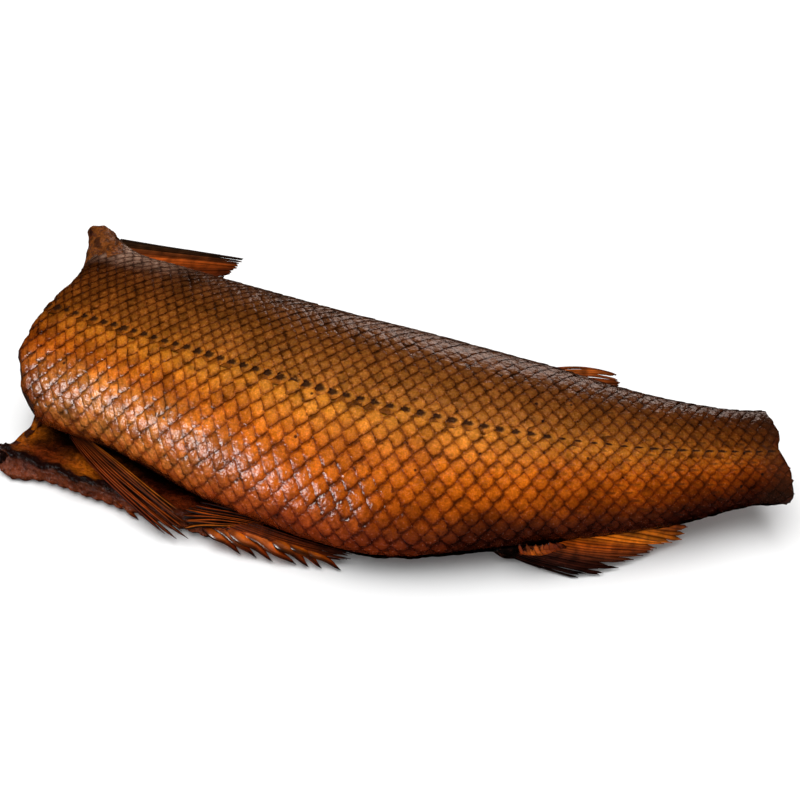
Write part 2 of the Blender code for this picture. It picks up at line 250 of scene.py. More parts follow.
def ripple(x, y, size, seed):
    """Smooth seeded unevenness from about -1 to 1: the mean of a few sine waves in scattered directions,
    whose lengths lie round size, times a gain."""
    draw = np.random.default_rng(seed)
    total = 0.0
    for _ in range(RIPPLE_WAVES):
        turn, phase, length = draw.uniform(0, 2 * np.pi, 2).tolist() + [size * draw.uniform(0.6, 1.5)]
        total = total + np.sin(2 * np.pi * (np.cos(turn) * x + np.sin(turn) * y) / length + phase)
    return total / RIPPLE_WAVES * RIPPLE_GAIN


def grid_quads(rows, columns, closed=False):
    """The corners of each cell of a rows by columns grid, whose last column joins the first if closed."""
    row, column = np.meshgrid(np.arange(rows - 1), np.arange(columns - (not closed)), indexing="ij")
    after = (column + 1) % columns
    return np.stack([row * columns + column, row * columns + after,
                     (row + 1) * columns + after, (row + 1) * columns + column], -1).reshape(-1, 4)


def tube_faces(rows, columns):
    """The cells of a tube of rings, and the two faces that close its ends."""
    ring = np.arange(columns)
    return [grid_quads(rows, columns, closed=True), np.stack([ring[::-1], (rows - 1) * columns + ring])]


def repeated(faces, copies, points_each):
    """The same faces for each of several copies of a shape, with their corner numbers moved on."""
    return (faces[None] + (np.arange(copies) * points_each)[:, None, None]).reshape(-1, faces.shape[1])


def new_piece(name, points, face_lists, materials, attributes=None, face_materials=None):
    """A smooth closed mesh object of points in millimetres. face_lists holds an array of faces for each
    number of corners, and each attribute has a number or a vector for every point. The faces are turned over
    if the volume that they enclose, summed over their corner fans, comes out negative."""
    points = np.asarray(points, float).reshape(-1, 3)
    volume = 0.0
    for faces in face_lists:
        corners = points[faces]
        for i in range(1, faces.shape[1] - 1):
            volume += np.einsum("ij,ij->", corners[:, 0], np.cross(corners[:, i], corners[:, i + 1]))
    if volume < 0:
        face_lists = [faces[:, ::-1] for faces in face_lists]
    loops = np.concatenate([faces.ravel() for faces in face_lists])
    sizes = np.concatenate([np.full(len(faces), faces.shape[1]) for faces in face_lists])
    mesh = bpy.data.meshes.new(name)
    mesh.vertices.add(len(points))
    mesh.vertices.foreach_set("co", (points * MM).ravel())
    mesh.loops.add(len(loops))
    mesh.loops.foreach_set("vertex_index", loops)
    mesh.polygons.add(len(sizes))
    mesh.polygons.foreach_set("loop_start", np.concatenate([[0], np.cumsum(sizes)[:-1]]))
    for material in materials:
        mesh.materials.append(material)
    if face_materials is not None:
        mesh.polygons.foreach_set("material_index", face_materials)
    mesh.update(calc_edges=True)
    for key, values in (attributes or {}).items():
        values = np.asarray(values, float).reshape(len(points), -1)
        vector = values.shape[1] == 3
        layer = mesh.attributes.new(key, "FLOAT_VECTOR" if vector else "FLOAT", "POINT")
        layer.data.foreach_set("vector" if vector else "value", values.ravel())
    mesh.shade_smooth()
    piece = bpy.data.objects.new(name, mesh)
    bpy.context.scene.collection.objects.link(piece)
    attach(piece, "root")
    return piece


def linear(hex_colour):
    """A hex sRGB colour as linear red, green, blue and alpha."""
    value = np.array([int(hex_colour[i:i + 2], 16) / 255 for i in (1, 3, 5)])
    value = np.where(value <= 0.04045, value / 12.92, ((value + 0.055) / 1.055) ** 2.4)
    return (*value.tolist(), 1.0)


def add_node(tree, kind, *inputs, named=(), stops=(), **settings):
    """One shader node of a kind, or of a kind with settings. Its inputs fill the sockets in use in order, or
    go by name. Each is a value, a socket to link, or a node, whose first output in use is linked."""
    kind, preset = kind if isinstance(kind, tuple) else (kind, {})
    node = tree.nodes.new("ShaderNode" + kind)
    for key, value in (preset | settings).items():
        setattr(node, key, value)
    in_use = [socket for socket in node.inputs if socket.enabled]
    for socket, value in [*zip(in_use, inputs), *((node.inputs[key], named[key]) for key in named)]:
        if isinstance(value, bpy.types.Node):
            value = next(output for output in value.outputs if output.enabled)
        if isinstance(value, bpy.types.NodeSocket):
            tree.links.new(value, socket)
        else:
            socket.default_value = value
    for number, (at, colour) in enumerate(stops):
        elements = node.color_ramp.elements
        element = elements[number] if number < len(elements) else elements.new(at)
        element.position = at
        element.color = linear(colour)
    return node


def new_material(name):
    """An empty material, and add_node bound to its node tree."""
    material = bpy.data.materials.new(name)
    material.use_nodes = True
    material.node_tree.nodes.clear()
    return material, partial(add_node, material.node_tree)


# ---- materials ----

# Kinds of node, by what they do: arithmetic, one range spread over another evenly or with a smooth S, and
# numbers or colours mixed.
PLUS, MINUS, TIMES, OVER, POWER, TIMES_PLUS, LARGER, SIZE_OF = (("Math", {"operation": name}) for name in (
    "ADD", "SUBTRACT", "MULTIPLY", "DIVIDE", "POWER", "MULTIPLY_ADD", "MAXIMUM", "ABSOLUTE"))
SCALED = ("VectorMath", {"operation": "SCALE"})
EVEN, SMOOTH = (("MapRange", {"interpolation_type": name}) for name in ("LINEAR", "SMOOTHSTEP"))
BLEND, LAID_OVER = (("Mix", {"data_type": name}) for name in ("FLOAT", "RGBA"))
TINTED = ("Mix", {"data_type": "RGBA", "blend_type": "MULTIPLY"})

# The skin's colours from the belly line to the ridge, and the tint along the body from the neck to the tail.
SMOKED_ZONES = ((0.00, "#6a2608"), (0.08, "#9c400b"), (0.20, "#c0600c"), (0.34, "#c86e11"), (0.46, "#c27e22"),
                (0.55, "#966020"), (0.68, "#6e441a"), (0.80, "#54361f"), (1.00, "#463026"))
LENGTH_TINTS = ((0.02, "#7a5e54"), (0.10, "#ccb4a4"), (0.28, "#e6d8ce"), (0.45, "#f4e8e0"), (0.62, "#f0e2dc"),
                (0.82, "#d4c0b4"), (0.92, "#b89c88"), (0.97, "#8a6e5c"))
# The lining's and the flap's colours from deep inside, where painted shade makes the cavity near black, over
# the charred crest, to the skin outside.
FLAP_COLOURS_AND_CAVITY_SHADE = ((0.16, "#030101"), (0.46, "#080201"), (0.56, "#300c03"), (0.63, "#5c2008"), (0.70, "#260c05"),
                (0.80, "#50200f"), (0.88, "#74361c"), (0.97, "#341208"))


def finish(add, colour, roughness, gloss, bumps, ior=1.5):
    """Ends a material in its surface. bumps are (height, depth in millimetres, strength), each laid on the
    one before it."""
    normal = {}
    for height, depth, strength in bumps:
        bump = {"Height": height, "Distance": depth * MM, "Strength": strength}
        normal = {"Normal": add("Bump", named=bump | normal)}
    surface = {"Base Color": colour, "Roughness": roughness, "Specular IOR Level": gloss, "IOR": ior}
    add("OutputMaterial", add("BsdfPrincipled", named=surface | normal))


def smoked_skin_material(name, scaled):
    """Fish skin after hot smoking: amber lacquer over thin overlapping scales, darkest on the back and low on
    the rear. The oil gives small sharp glints. A soft dark net shows where scales overlap, partly their dark
    rims and partly painted shade under the edges of the scales in front, and each scale has painted shade in
    its corners and a painted highlight in its middle.
    on_body holds the place along the body, the place round it from -1 at the belly to 1 at the ridge, and a
    chance number. on_scale holds the distances in millimetres from the nearest edge, from the middle to the
    rear and from the middle to the side, and on_line is 1 on the lateral line."""
    material, add = new_material(name)
    where = add("TexCoord").outputs["Object"]
    patches, stains, fine, finest, dimples = (
        add("TexNoise", where, 1000 / size, detail, rough) for size, detail, rough in (
            (14, 3.0, 0.6), (4.5, 3.0, 0.6), (1.2, 3.0, 0.6), (0.55, 2.0, 0.6), (2.8, 3.0, 0.55)))
    body = add("SeparateXYZ", add("Attribute", attribute_name="on_body").outputs["Vector"])
    along, round_it, chance = body.outputs
    place_round = add(PLUS, round_it, add(EVEN, patches, 0.0, 1.0, -0.13, 0.13))
    zone = add("ValToRGB", add(EVEN, place_round, -1.0, 1.0), stops=SMOKED_ZONES)
    shade = add("ValToRGB", add(EVEN, along, -150.0, 150.0), stops=LENGTH_TINTS)
    colour = add(TINTED, 1.0, zone, shade)
    # Behind the nape the skin is painted grey: partly grey-brown scales, partly a painted grey sheen.
    saddle_grey_and_sheen = add(TIMES, add(SMOOTH, along, -122.0, -84.0, 1.0, 0.0),
                 add(SMOOTH, place_round, 0.46, 0.7, 0.0, 0.9))
    colour = add(LAID_OVER, saddle_grey_and_sheen, colour, linear("#94796a"))
    # Low on the rear of the body the skin is darker.
    low = add(PLUS, place_round, add(SMOOTH, along, 60.0, 130.0, 0.0, -0.16))
    low = add(SMOOTH, low, -0.88, -0.3, 0.2, 1.0)
    lost = add(TIMES, add(MINUS, 1.0, low), add(SMOOTH, along, -30.0, 45.0))
    # The patches are stronger towards the neck.
    dark, light = (add(SMOOTH, along, -110.0, 0.0, *ends) for ends in ((0.62, 0.84), (1.2, 1.14)))
    factors = [add(MINUS, 1.0, lost), add(EVEN, chance, 0.0, 1.0, 0.84, 1.16),
               add(EVEN, fine, 0.3, 0.7, 0.74, 1.26), add(EVEN, finest, 0.3, 0.7, 0.8, 1.2),
               add(SMOOTH, patches, 0.35, 0.65, dark, light), add(SMOOTH, stains, 0.52, 0.72, 1.0, 0.62)]
    layers = []
    if scaled:
        scale = add("SeparateXYZ", add("Attribute", attribute_name="on_scale").outputs["Vector"])
        to_edge, behind, beside = scale.outputs
        lateral = add("Attribute", attribute_name="on_line").outputs["Fac"]
        # The net of overlaps, partly the scales' dark rims and partly painted shade under the edges of the
        # scales in
        # front: its lines wander, are widest in front, where that painted shade lies, and below the lateral
        # line on the edges that slant down.
        wander = add(PLUS, add(EVEN, fine, 0.25, 0.75, -0.3, 0.3), add(EVEN, finest, 0.25, 0.75, -0.14, 0.14))
        to_edge = add(TIMES_PLUS, wander, add(SMOOTH, along, 20.0, 90.0, 1.0, 0.5), to_edge)
        to_edge = add(TIMES_PLUS, lateral, 0.3, to_edge)
        depth = add(PLUS, add(SMOOTH, round_it, -0.7, 0.1, 0.22, 0.12),
                    add(SMOOTH, stains, 0.35, 0.65, 0.55, 0.24))
        slant = add(EVEN, add(TIMES, behind, beside), -1.2, 1.2, 1.45, 0.3)
        slant = add(BLEND, add(SMOOTH, round_it, -0.15, 0.05, 1.0, 0.0), 1.0, slant)
        width = add(TIMES, add(SMOOTH, behind, -1.6, 1.6, 1.1, 0.4), slant)
        net = add(SMOOTH, add(OVER, to_edge, width), 0.05, 1.0, depth, 1.0)
        # The corners outside an oval get painted shade and the middle of each scale a painted highlight, so
        # each scale looks rounder and puffier than the lines around it.
        outside = add(PLUS, *(add(POWER, add(SIZE_OF, add(OVER, way, reach)), 2.0)
                              for way, reach in ((behind, 2.2), (beside, 2.8))))
        painted_corner_shade = add(SMOOTH, along, -40.0, 60.0, 0.85, 0.55)
        factors += [net, add(SMOOTH, outside, 0.7, 1.35, 1.0, painted_corner_shade),
                    add(SMOOTH, to_edge, 0.4, 1.9, 0.98, 1.2)]
        tint = add(LAID_OVER, add(SMOOTH, to_edge, 0.2, 1.3), linear("#f4dacc"), linear("#fffaf0"))
        colour = add(TINTED, 1.0, colour, tint)
        # The dark mark in a scale of the lateral line is a blot in front and a dash at the tail. Some scales
        # near the tail have a faint one too.
        off = add(TIMES_PLUS, add(EVEN, fine, 0.0, 1.0, -1.2, 1.2), add(SMOOTH, along, 20.0, 80.0, 1.0, 0.3),
                  beside)
        ahead = add(POWER, add(SIZE_OF, add(PLUS, behind, 1.1)), 2.0)
        away = add(TIMES_PLUS, ahead, add(SMOOTH, along, 20.0, 100.0, 0.36, 0.05), add(TIMES, off, off))
        reach = add(TIMES, add(SMOOTH, along, 0.0, 80.0, 2.0, 0.26), add(EVEN, chance, 0.0, 1.0, 0.6, 1.3))
        marked = add(TIMES, add(SMOOTH, along, 30.0, 80.0, 0.0, 0.6), add(SMOOTH, chance, 0.2, 0.9, 0.1, 1.0))
        blot = add(SMOOTH, add(OVER, away, reach), 0.2, 1.4, 0.94, 0.0)
        blot = add(TIMES, blot, add(LARGER, lateral, marked))
        layers = [(blot, "#1c0e08")]
    # The front of the belly is painted lighter and more golden: partly a paler tone of its own, partly a
    # painted sheen.
    paler_belly_and_sheen = add(TIMES, add(SMOOTH, stains, 0.4, 0.6, 0.35, 1.0), add(SMOOTH, along, -100.0, -20.0, 0.75, 0.0))
    low_down = add(TIMES, add(SMOOTH, round_it, -0.25, -0.5, 0.0, 1.0),
                   add(SMOOTH, along, -136.0, -104.0, 0.1, 1.0))
    paler_belly_and_sheen = add(TIMES, add(TIMES, paler_belly_and_sheen, low_down), add(SMOOTH, round_it, -0.96, -0.66, 0.15, 1.0))
    colour = add(LAID_OVER, paler_belly_and_sheen, colour, linear("#f2963c"))
    bright = factors[0]
    for factor in factors[1:]:
        bright = add(TIMES, bright, factor)
    colour = add(SCALED, colour, bright)
    # Over it lie the charred crust at the tail, and specks of soot.
    crust = add(SMOOTH, add(TIMES_PLUS, patches, 44.0, along), 140.0, 166.0, 0.0, 0.7)
    specks = add(SMOOTH, add("TexVoronoi", where, 1000 / 9), 0.045, 0.085, 0.85, 0.0)
    for amount, tone in layers + [(crust, "#2c190f"), (specks, "#1a0d08")]:
        colour = add(LAID_OVER, amount, colour, linear(tone))
    finish(add, colour, add(EVEN, fine, 0.3, 0.7, 0.12, 0.3), 0.45, [(dimples, 1.0, 0.7)], ior=1.45)
    return material


def tissue_material(name, stops, size, roughness, wrinkle=0.8):
    """Dried and oiled tissue where the skin ends: a blotchy brown lacquer, wrinkled as it shrank. size is
    that of its blotches and wrinkle the depth of its folds, in millimetres."""
    material, add = new_material(name)
    where = add("TexCoord").outputs["Object"]
    patches = add("TexNoise", where, 1000 / size, 5.0, 0.62)
    fine = add("TexNoise", where, 1000 / 1.3, 4.0, 0.7)
    colour = add(SCALED, add("ValToRGB", patches, stops=stops), add(EVEN, fine, 0.3, 0.7, 0.55, 1.35))
    finish(add, colour, roughness, 0.25, [(patches, wrinkle, 0.7), (fine, 0.35, 0.6)])
    return material


def fin_material(name, stops, between, crest, roughness=0.45, char_from=0.6, charred=0.3, gloss=0.06):
    """Dried fin: horny rays, amber along their crests, partly their own colour and partly painted light where
    it would shine through them, with painted shade between them, and charred at their tips. Its colours are
    read across the fin, at on_fin, from 0 to 1. on_ray holds the share of the way to the tip, the share of
    the half width, and a chance number."""
    material, add = new_material(name)
    ray = add("SeparateXYZ", add("Attribute", attribute_name="on_ray").outputs["Vector"])
    tip, side, chance = ray.outputs
    noise = add("TexNoise", add("TexCoord").outputs["Object"], 1000 / 4, 4.0)
    # Painted shade darkens each strip from its crest towards its sides, between the rays.
    bright = add(SMOOTH, add(SIZE_OF, side), crest * 0.3, crest, 1.0, between)
    for value, low, high, darkest, lightest in (
            (tip, char_from, 1.0, 1.0, charred), (noise, 0.3, 0.7, 0.45, 1.5), (chance, 0.0, 1.0, 0.55, 1.4)):
        bright = add(TIMES, bright, add(EVEN, value, low, high, darkest, lightest))
    colour = add("ValToRGB", add("Attribute", attribute_name="on_fin").outputs["Fac"], stops=stops)
    finish(add, add(SCALED, colour, bright), roughness, gloss, [(noise, 0.4, 0.6)])
    return material


def flap_material(name):
    """The belly's lining and the rolled edge of its flap: near black inside, a dark lining with painted shade
    deep in the cavity, amber where the smoke reached it, pink-brown skin outside. on_flap holds the distance
    in millimetres from the crest, negative inside, how charred the place is, and how golden."""
    material, add = new_material(name)
    flap = add("SeparateXYZ", add("Attribute", attribute_name="on_flap").outputs["Vector"])
    from_crest, charred, golden = flap.outputs
    where = add("TexCoord").outputs["Object"]
    patches, fine, folds = (add("TexNoise", where, 1000 / size, detail, rough) for size, detail, rough in (
        (7, 5.0, 0.65), (1.6, 4.0, 0.7), (2.4, 3.0, 0.6)))
    at = add(EVEN, add(TIMES_PLUS, patches, 14.0, from_crest), -23.0, 19.0)
    colour = add("ValToRGB", at, stops=FLAP_COLOURS_AND_CAVITY_SHADE)
    gold = add(TIMES, golden, add(EVEN, patches, 0.3, 0.6))
    char = add(EVEN, add(PLUS, charred, add(TIMES_PLUS, fine, 1.2, -0.6)), 0.4, 0.8)
    for amount, tone in ((gold, "#c0620f"), (char, "#160705")):
        colour = add(LAID_OVER, amount, colour, linear(tone))
    colour = add(SCALED, colour, add(EVEN, fine, 0.3, 0.7, 0.35, 1.7))
    finish(add, colour, add(EVEN, fine, 0.3, 0.7, 0.1, 0.3), 0.14, [(folds, 2.0, 0.8), (fine, 0.5, 0.7)])
    return material


def lit_floor_material(name, colour, glow):
    """A light table's matt white acrylic: a little light of its own keeps the shadows on it faint."""
    material, add = new_material(name)
    add("OutputMaterial", add("BsdfPrincipled", named={
        "Base Color": linear(colour), "Roughness": 0.7, "Specular IOR Level": 0.1,
        "Emission Color": linear(colour), "Emission Strength": glow}))
    return material


# ---- distances round the body ----

def read_table(table, x, y):
    """The table's value between its rows and columns, by bilinear interpolation; x and y count cells."""
    x = np.clip(x, 0, table.shape[0] - 1.001)
    y = np.clip(y, 0, table.shape[1] - 1.001)
    i, j = x.astype(int), y.astype(int)
    u, v = x - i, y - j
    return ((table[i, j] * (1 - u) + table[i + 1, j] * u) * (1 - v)
            + (table[i, j + 1] * (1 - u) + table[i + 1, j + 1] * u) * v)


class Girth:
    """Turns a place k on one stretch into a distance round the body and back. Distances are arc lengths in
    millimetres from the lateral line, positive towards the back, read from a table of sections."""

    S_STEP, K_COUNT = 2.0, 360

    def __init__(self, name, k_low, k_high):
        self.name, self.k_low = name, k_low
        self.s = np.arange(-158.0, 150.0, self.S_STEP)
        k = np.linspace(k_low, k_high, self.K_COUNT)
        self.k_step = k[1] - k[0]
        points = surface(name, *np.broadcast_arrays(k[None, :], self.s[:, None]))
        steps = np.linalg.norm(np.diff(points, axis=1), axis=-1)
        arc = np.concatenate([np.zeros((len(self.s), 1)), np.cumsum(steps, 1)], 1)
        first, last = STRETCH_ANGLES[name]
        lateral = profile(LATERAL_ANGLE, self.s)
        line_k = ((lateral if name == "flank" else 360.0 - lateral) - first) / (last - first)
        arc = arc - np.array([np.interp(at, k, row) for at, row in zip(line_k, arc)])[:, None]
        self.back_sign = -1.0 if name == "flank" else 1.0
        self.arc_of_k = self.back_sign * arc
        self.arcs = np.arange(-120.0, 120.5, 1.0)
        self.k_of_arc = np.array([np.interp(self.back_sign * self.arcs, row, k) for row in arc])
        ridge_k, belly_k = (0.0, 1.0) if name == "flank" else (1.0, 0.0)
        self.to_ridge = self.around(self.s, np.full_like(self.s, ridge_k))
        self.to_belly = -self.around(self.s, np.full_like(self.s, belly_k))

    def around(self, s, k):
        """The distance from the lateral line to each (s, k)."""
        return read_table(self.arc_of_k, (s - self.s[0]) / self.S_STEP, (k - self.k_low) / self.k_step)

    def place_k(self, s, around):
        """k at each (s, distance from the lateral line)."""
        return read_table(self.k_of_arc, (s - self.s[0]) / self.S_STEP, around - self.arcs[0])

    def share(self, s, around):
        """The distance as a share of the way to the ridge, up to 1, or to the belly edge, down to -1."""
        return np.where(around > 0, around / np.interp(s, self.s, self.to_ridge),
                        around / np.interp(s, self.s, self.to_belly))


# ---- the body under its scales ----

BODY_ROWS, BODY_ROW_POWER = 370, 1.08
BODY_COLUMNS = {"flank": 92, "roof": 22, "floor": 52, "rim": 36, "under": 60}
UNDER_SCALES = 0.55
BODY_FINISH = {"flank": 0, "roof": 1, "floor": 1, "rim": 1, "under": 0}
EAR_LENGTH, EAR_ANGLE = 14.0, 34.0
RIM_LENGTH = np.pi * (RIM_HALF_WIDTH + RIM_HEIGHT / 2) / 2
CREST_HEIGHT, CREST_WIDTH, POCKET_DEPTH, POCKET_GAP = 1.5, 1.7, 0.9, 4.6
FLAP_FOOT, FLAP_FOOT_S, FLAP_FOOT_LENGTH = 4.6, -124.5, 8.0
# Golden spots in the lining: how golden, where along the body, how long, where off the crest, and how wide.
GOLDEN_SPOTS = ((0.9, -97.0, 10.0, -5.0, 5.0), (0.8, -130.0, 7.0, -10.0, 8.0))


def on_ear(name, k, s, more=0.0):
    """Whether a place lies on the bare nape, whose front edge sticks up like an ear."""
    from_ridge = np.abs((angles(name, k) - NAPE_ANGLE + 180.0) % 360.0 - 180.0)
    return (s - neck_line(name, k) < EAR_LENGTH + more) & (from_ridge < EAR_ANGLE + more)


def sideways(s):
    """The unit direction towards the back at s."""
    return place(s, 1.0 + 0 * s, 0 * s) - place(s, 0 * s, 0 * s)


def flap_relief(name, k, s):
    """What the drying did to the flap: the height of its relief, how far its foot spreads, and its marks. A
    rolled ridge, a bell of the distance from the crest, carries wrinkles of two lengths. Scale pockets, the
    product of two slanting waves, dent the outer side, and the front corner's foot is pressed outwards."""
    from_crest = {"roof": (k - 2) * SLOT_DEPTH, "floor": (k - 1) * SLOT_DEPTH, "rim": k * RIM_LENGTH}[name]
    from_crest = from_crest + 0 * s
    is_open = smooth_step(SLOT_END_S, SLOT_CLOSING_S, s)
    forward = 1 - 0.6 * smooth_step(-92, -68, s)
    off_ridge = from_crest - 0.6 + 1.2 * ripple(s, s, 14.0, 46)
    ridge = np.exp(-((off_ridge / CREST_WIDTH) ** 2)) * forward * is_open
    wrinkles = 0.6 * ripple(0.6 * s, 2.2 * from_crest, 4.0, 41)
    wrinkles = wrinkles + 0.5 * ripple(0.5 * s, 1.4 * from_crest, 1.7, 42)
    wave = [np.cos(np.pi * (s / POCKET_GAP + sign * from_crest / 3.3)) for sign in (1, -1)]
    pockets = (np.clip(wave[0] * wave[1], 0, 1) * smooth_step(2.5, 4.5, from_crest)
               * smooth_step(11.5, 9.0, from_crest))
    height = ridge * (CREST_HEIGHT + wrinkles) + is_open * POCKET_DEPTH * (pockets - 0.5 * (from_crest > 2.5))
    inner = smooth_step(-36, -20, from_crest)
    height = height + 0.5 * ripple(s, from_crest, 6.0, 43) * inner * (from_crest < 0)
    foot = np.exp(-(((s - FLAP_FOOT_S) / FLAP_FOOT_LENGTH) ** 2))
    foot = FLAP_FOOT * foot * smooth_step(2.5, 8.5, from_crest)
    golden = sum(much * np.exp(-(((s - at) / length) ** 2) - ((from_crest - off) / width) ** 2)
                 for much, at, length, off, width in GOLDEN_SPOTS)
    return height, foot, np.stack([from_crest, ridge, golden], -1)


def body_piece(girths, materials):
    """The skin, the belly's lining and the flap's rim as one closed tube: girth lines that run from the neck
    cut to the tail cut. The faces that close its ends lie just behind the pieces that show there."""
    along = np.linspace(0, 1, BODY_ROWS)[:, None] ** BODY_ROW_POWER
    points, marks, flap_marks, finish = [], [], [], []
    for name, count in BODY_COLUMNS.items():
        k = np.arange(count)[None, :] / count
        neck, tail = neck_line(name, k), tail_line(name, k)
        s = neck + (tail - neck) * along
        k = k + 0 * s
        at = surface(name, k, s)
        height = 0.12 * ripple(s, 0.6 * at[..., 1] + at[..., 2], 9.0, 3)
        material = np.full_like(s, BODY_FINISH[name])
        if name in girths:
            ear = on_ear(name, k, s, more=1.5)
            lumps = 0.8 * ripple(s, at[..., 2], 7.0, 44) + 0.35 * ripple(s, at[..., 2], 2.6, 45)
            share = girths[name].share(s, girths[name].around(s, k))
            height = height + np.where(ear, lumps - 0.1, -UNDER_SCALES)
            on_flap = np.stack([12.0 + 0 * s, 0 * s, 0 * s], -1)
            material = np.where(ear, 2.0, material)
        else:
            relief, foot, on_flap = flap_relief(name, k, s)
            share, height = np.full_like(s, -1.0), height + relief
            at = at - sideways(s) * foot[..., None]
        at = at + outward(name, k, s) * height[..., None]
        at[..., 2] = np.maximum(at[..., 2], 0.01)
        points.append(at)
        marks.append(np.stack([s, share, np.full_like(s, 0.5)], -1))
        flap_marks.append(on_flap)
        finish.append(material[:-1])
    points, marks, flap_marks = (np.concatenate(values, 1) for values in (points, marks, flap_marks))
    finish = np.concatenate([np.concatenate(finish, 1).ravel(), [3, 3]]).astype(int)
    return new_piece("fish_body", points, tube_faces(*points.shape[:2]), materials,
                     {"on_body": marks, "on_flap": flap_marks}, finish)


# ---- scales ----

SCALE_ROWS = np.array([0.0, 0.13, 0.32, 0.54, 0.76, 0.92, 1.0, 1.0])
SCALE_SIDES = np.array([-1.0, -0.74, -0.4, 0.0, 0.4, 0.74, 1.0])
SCALE_TIP, SCALE_CORNER, SCALE_POINT = 0.56, 0.62, 1.45
TUCKED_UNDER, LINE_SCALE_LENGTH, LINE_SCALE_LIFT = 0.13, 1.1, 0.14
FRONT_HEIGHT, REAR_HEIGHT, PILLOW, RIM_DROP, LEAN = -0.04, 0.42, 0.18, 0.36, 0.28


def lattice(family, u, v):
    """(s, distance from the lateral line) at places of the scales' lattice: u counts scales along a row from
    s = 0, and v counts rows from the line towards the back. Below the line, distance = v * rows - DESCENT,
    squeezed a little next to the line."""
    gaps = GAP_BELOW if family == "below" else GAP_ABOVE
    fine = np.linspace(-170.0, 160.0, 3301)
    number = np.concatenate([[0.0], np.cumsum(np.diff(fine) / profile(gaps, fine[1:]))])
    s = np.interp(u, number - np.interp(0.0, fine, number), fine)
    if family != "below":
        return s, v * profile(ROWS_ABOVE, s) * profile(gaps, s)
    depth = -v * profile(ROWS_BELOW, s) * profile(gaps, s) - profile(DESCENT, s)
    return s, -(depth - SQUEEZE * (1 - np.exp(-np.maximum(depth, 0.0) / SQUEEZE_REACH)))


def rear_edge(side):
    """The rear edge of a scale, in gaps behind its middle, at a share of its half width."""
    return SCALE_TIP - SCALE_CORNER * side**SCALE_POINT


def edge_slope(side, rows):
    """How much longer the way to that edge is along the row than straight across to it."""
    return np.sqrt(1 + (SCALE_CORNER * SCALE_POINT * side ** (SCALE_POINT - 1) / rows) ** 2)


def family_of_scales(family, name, girth, k_low, k_high, draw):
    """The points of the scales above, on or below the lateral line, and what the finish needs for each."""
    column, row = np.meshgrid(np.arange(-40, 41), np.arange(-30, 31), indexing="ij")
    column, row = column.ravel(), row.ravel()
    keep = {"above": row > 0, "line": row == 0, "below": row < 0}[family]
    u, v = (column + 0.5 * (row % 2))[keep], row[keep].astype(float)
    s, around = lattice(family, u, v)
    k = girth.place_k(s, around)
    keep = ((np.abs(girth.around(s, k) - around) < 0.3) & (k > k_low(s)) & (k < k_high(s))
            & ~on_ear(name, k, s) & (s > neck_line(name, k) + 0.8) & (s < tail_line(name, k) - 1.0))
    if family == "below":
        keep = keep & (around < -1.8)
    u, v, s = (values[keep][:, None, None] for values in (u, v, s))
    count = len(u)
    gap = profile(GAP_BELOW if family == "below" else GAP_ABOVE, s)
    rows = profile(ROWS_BELOW if family == "below" else ROWS_ABOVE, s)
    size, turn, lift, lean, slip, slide = (draw.normal(middle, spread, (count, 1, 1)) for middle, spread in (
        (1.0, 0.035), (0.0, 0.06), (1.0, 0.14), (0.0, 0.05), (0.0, 0.035), (0.0, 0.05)))
    if family != "line":
        u, v = u + slip, v + slide
    chance = draw.random((count, 1, 1))
    side = SCALE_SIDES[None, None, :]
    off = np.abs(side)
    share = SCALE_ROWS[None, :, None]
    rim = np.zeros_like(share)
    rim[0, -1, 0] = 1.0
    front_edge = rear_edge(1 - off) - 0.5
    length = np.maximum(rear_edge(off) - front_edge, 0.0) + TUCKED_UNDER
    if family == "line":
        length = LINE_SCALE_LENGTH + 0 * length
    behind = rear_edge(off) - length * (1 - share) + 0.015 * rim
    s, around = lattice(family, u + size * behind + turn * side * rows,
                        v + size * side - turn * behind / rows)
    around = {"above": np.maximum(around, 0.2), "line": around, "below": np.minimum(around, -0.2)}[family]
    lower = (family == "below") * smooth_step(50, -20, s)
    height = FRONT_HEIGHT + (REAR_HEIGHT - FRONT_HEIGHT) * lift * (behind + SCALE_TIP) / (2 * SCALE_TIP)
    height = height + (lean - LEAN * lower) * side
    pillow = PILLOW * (1 + 1.3 * lower)
    height = height + pillow * lift * (1 - side**2) * np.sin(np.pi * share) - RIM_DROP * rim
    height = height + (LINE_SCALE_LIFT if family == "line" else 0.0)
    k = girth.place_k(s, around)
    neck, tail = neck_line(name, k) + 0.8 - 2.8 * chance, tail_line(name, k) - 0.7 + 1.8 * chance
    s = np.where(s < neck, neck + 0.06 * (s - neck), np.where(s > tail, tail + 0.06 * (s - tail), s))
    points = surface(name, k, s) + outward(name, k, s) * height[..., None]
    points[..., 2] = np.maximum(points[..., 2], 0.02)
    edge = gap * np.minimum((rear_edge(off) - behind) / edge_slope(off, rows),
                            (behind - front_edge) / edge_slope(1 - off, rows))
    on_body = np.stack([s, girth.share(s, around), chance + 0 * s], -1)
    on_scale = np.stack([edge + 0 * s, behind * gap + 0 * s, side * rows * gap + 0 * s], -1)
    return points, on_body, on_scale, np.full_like(s, family == "line")


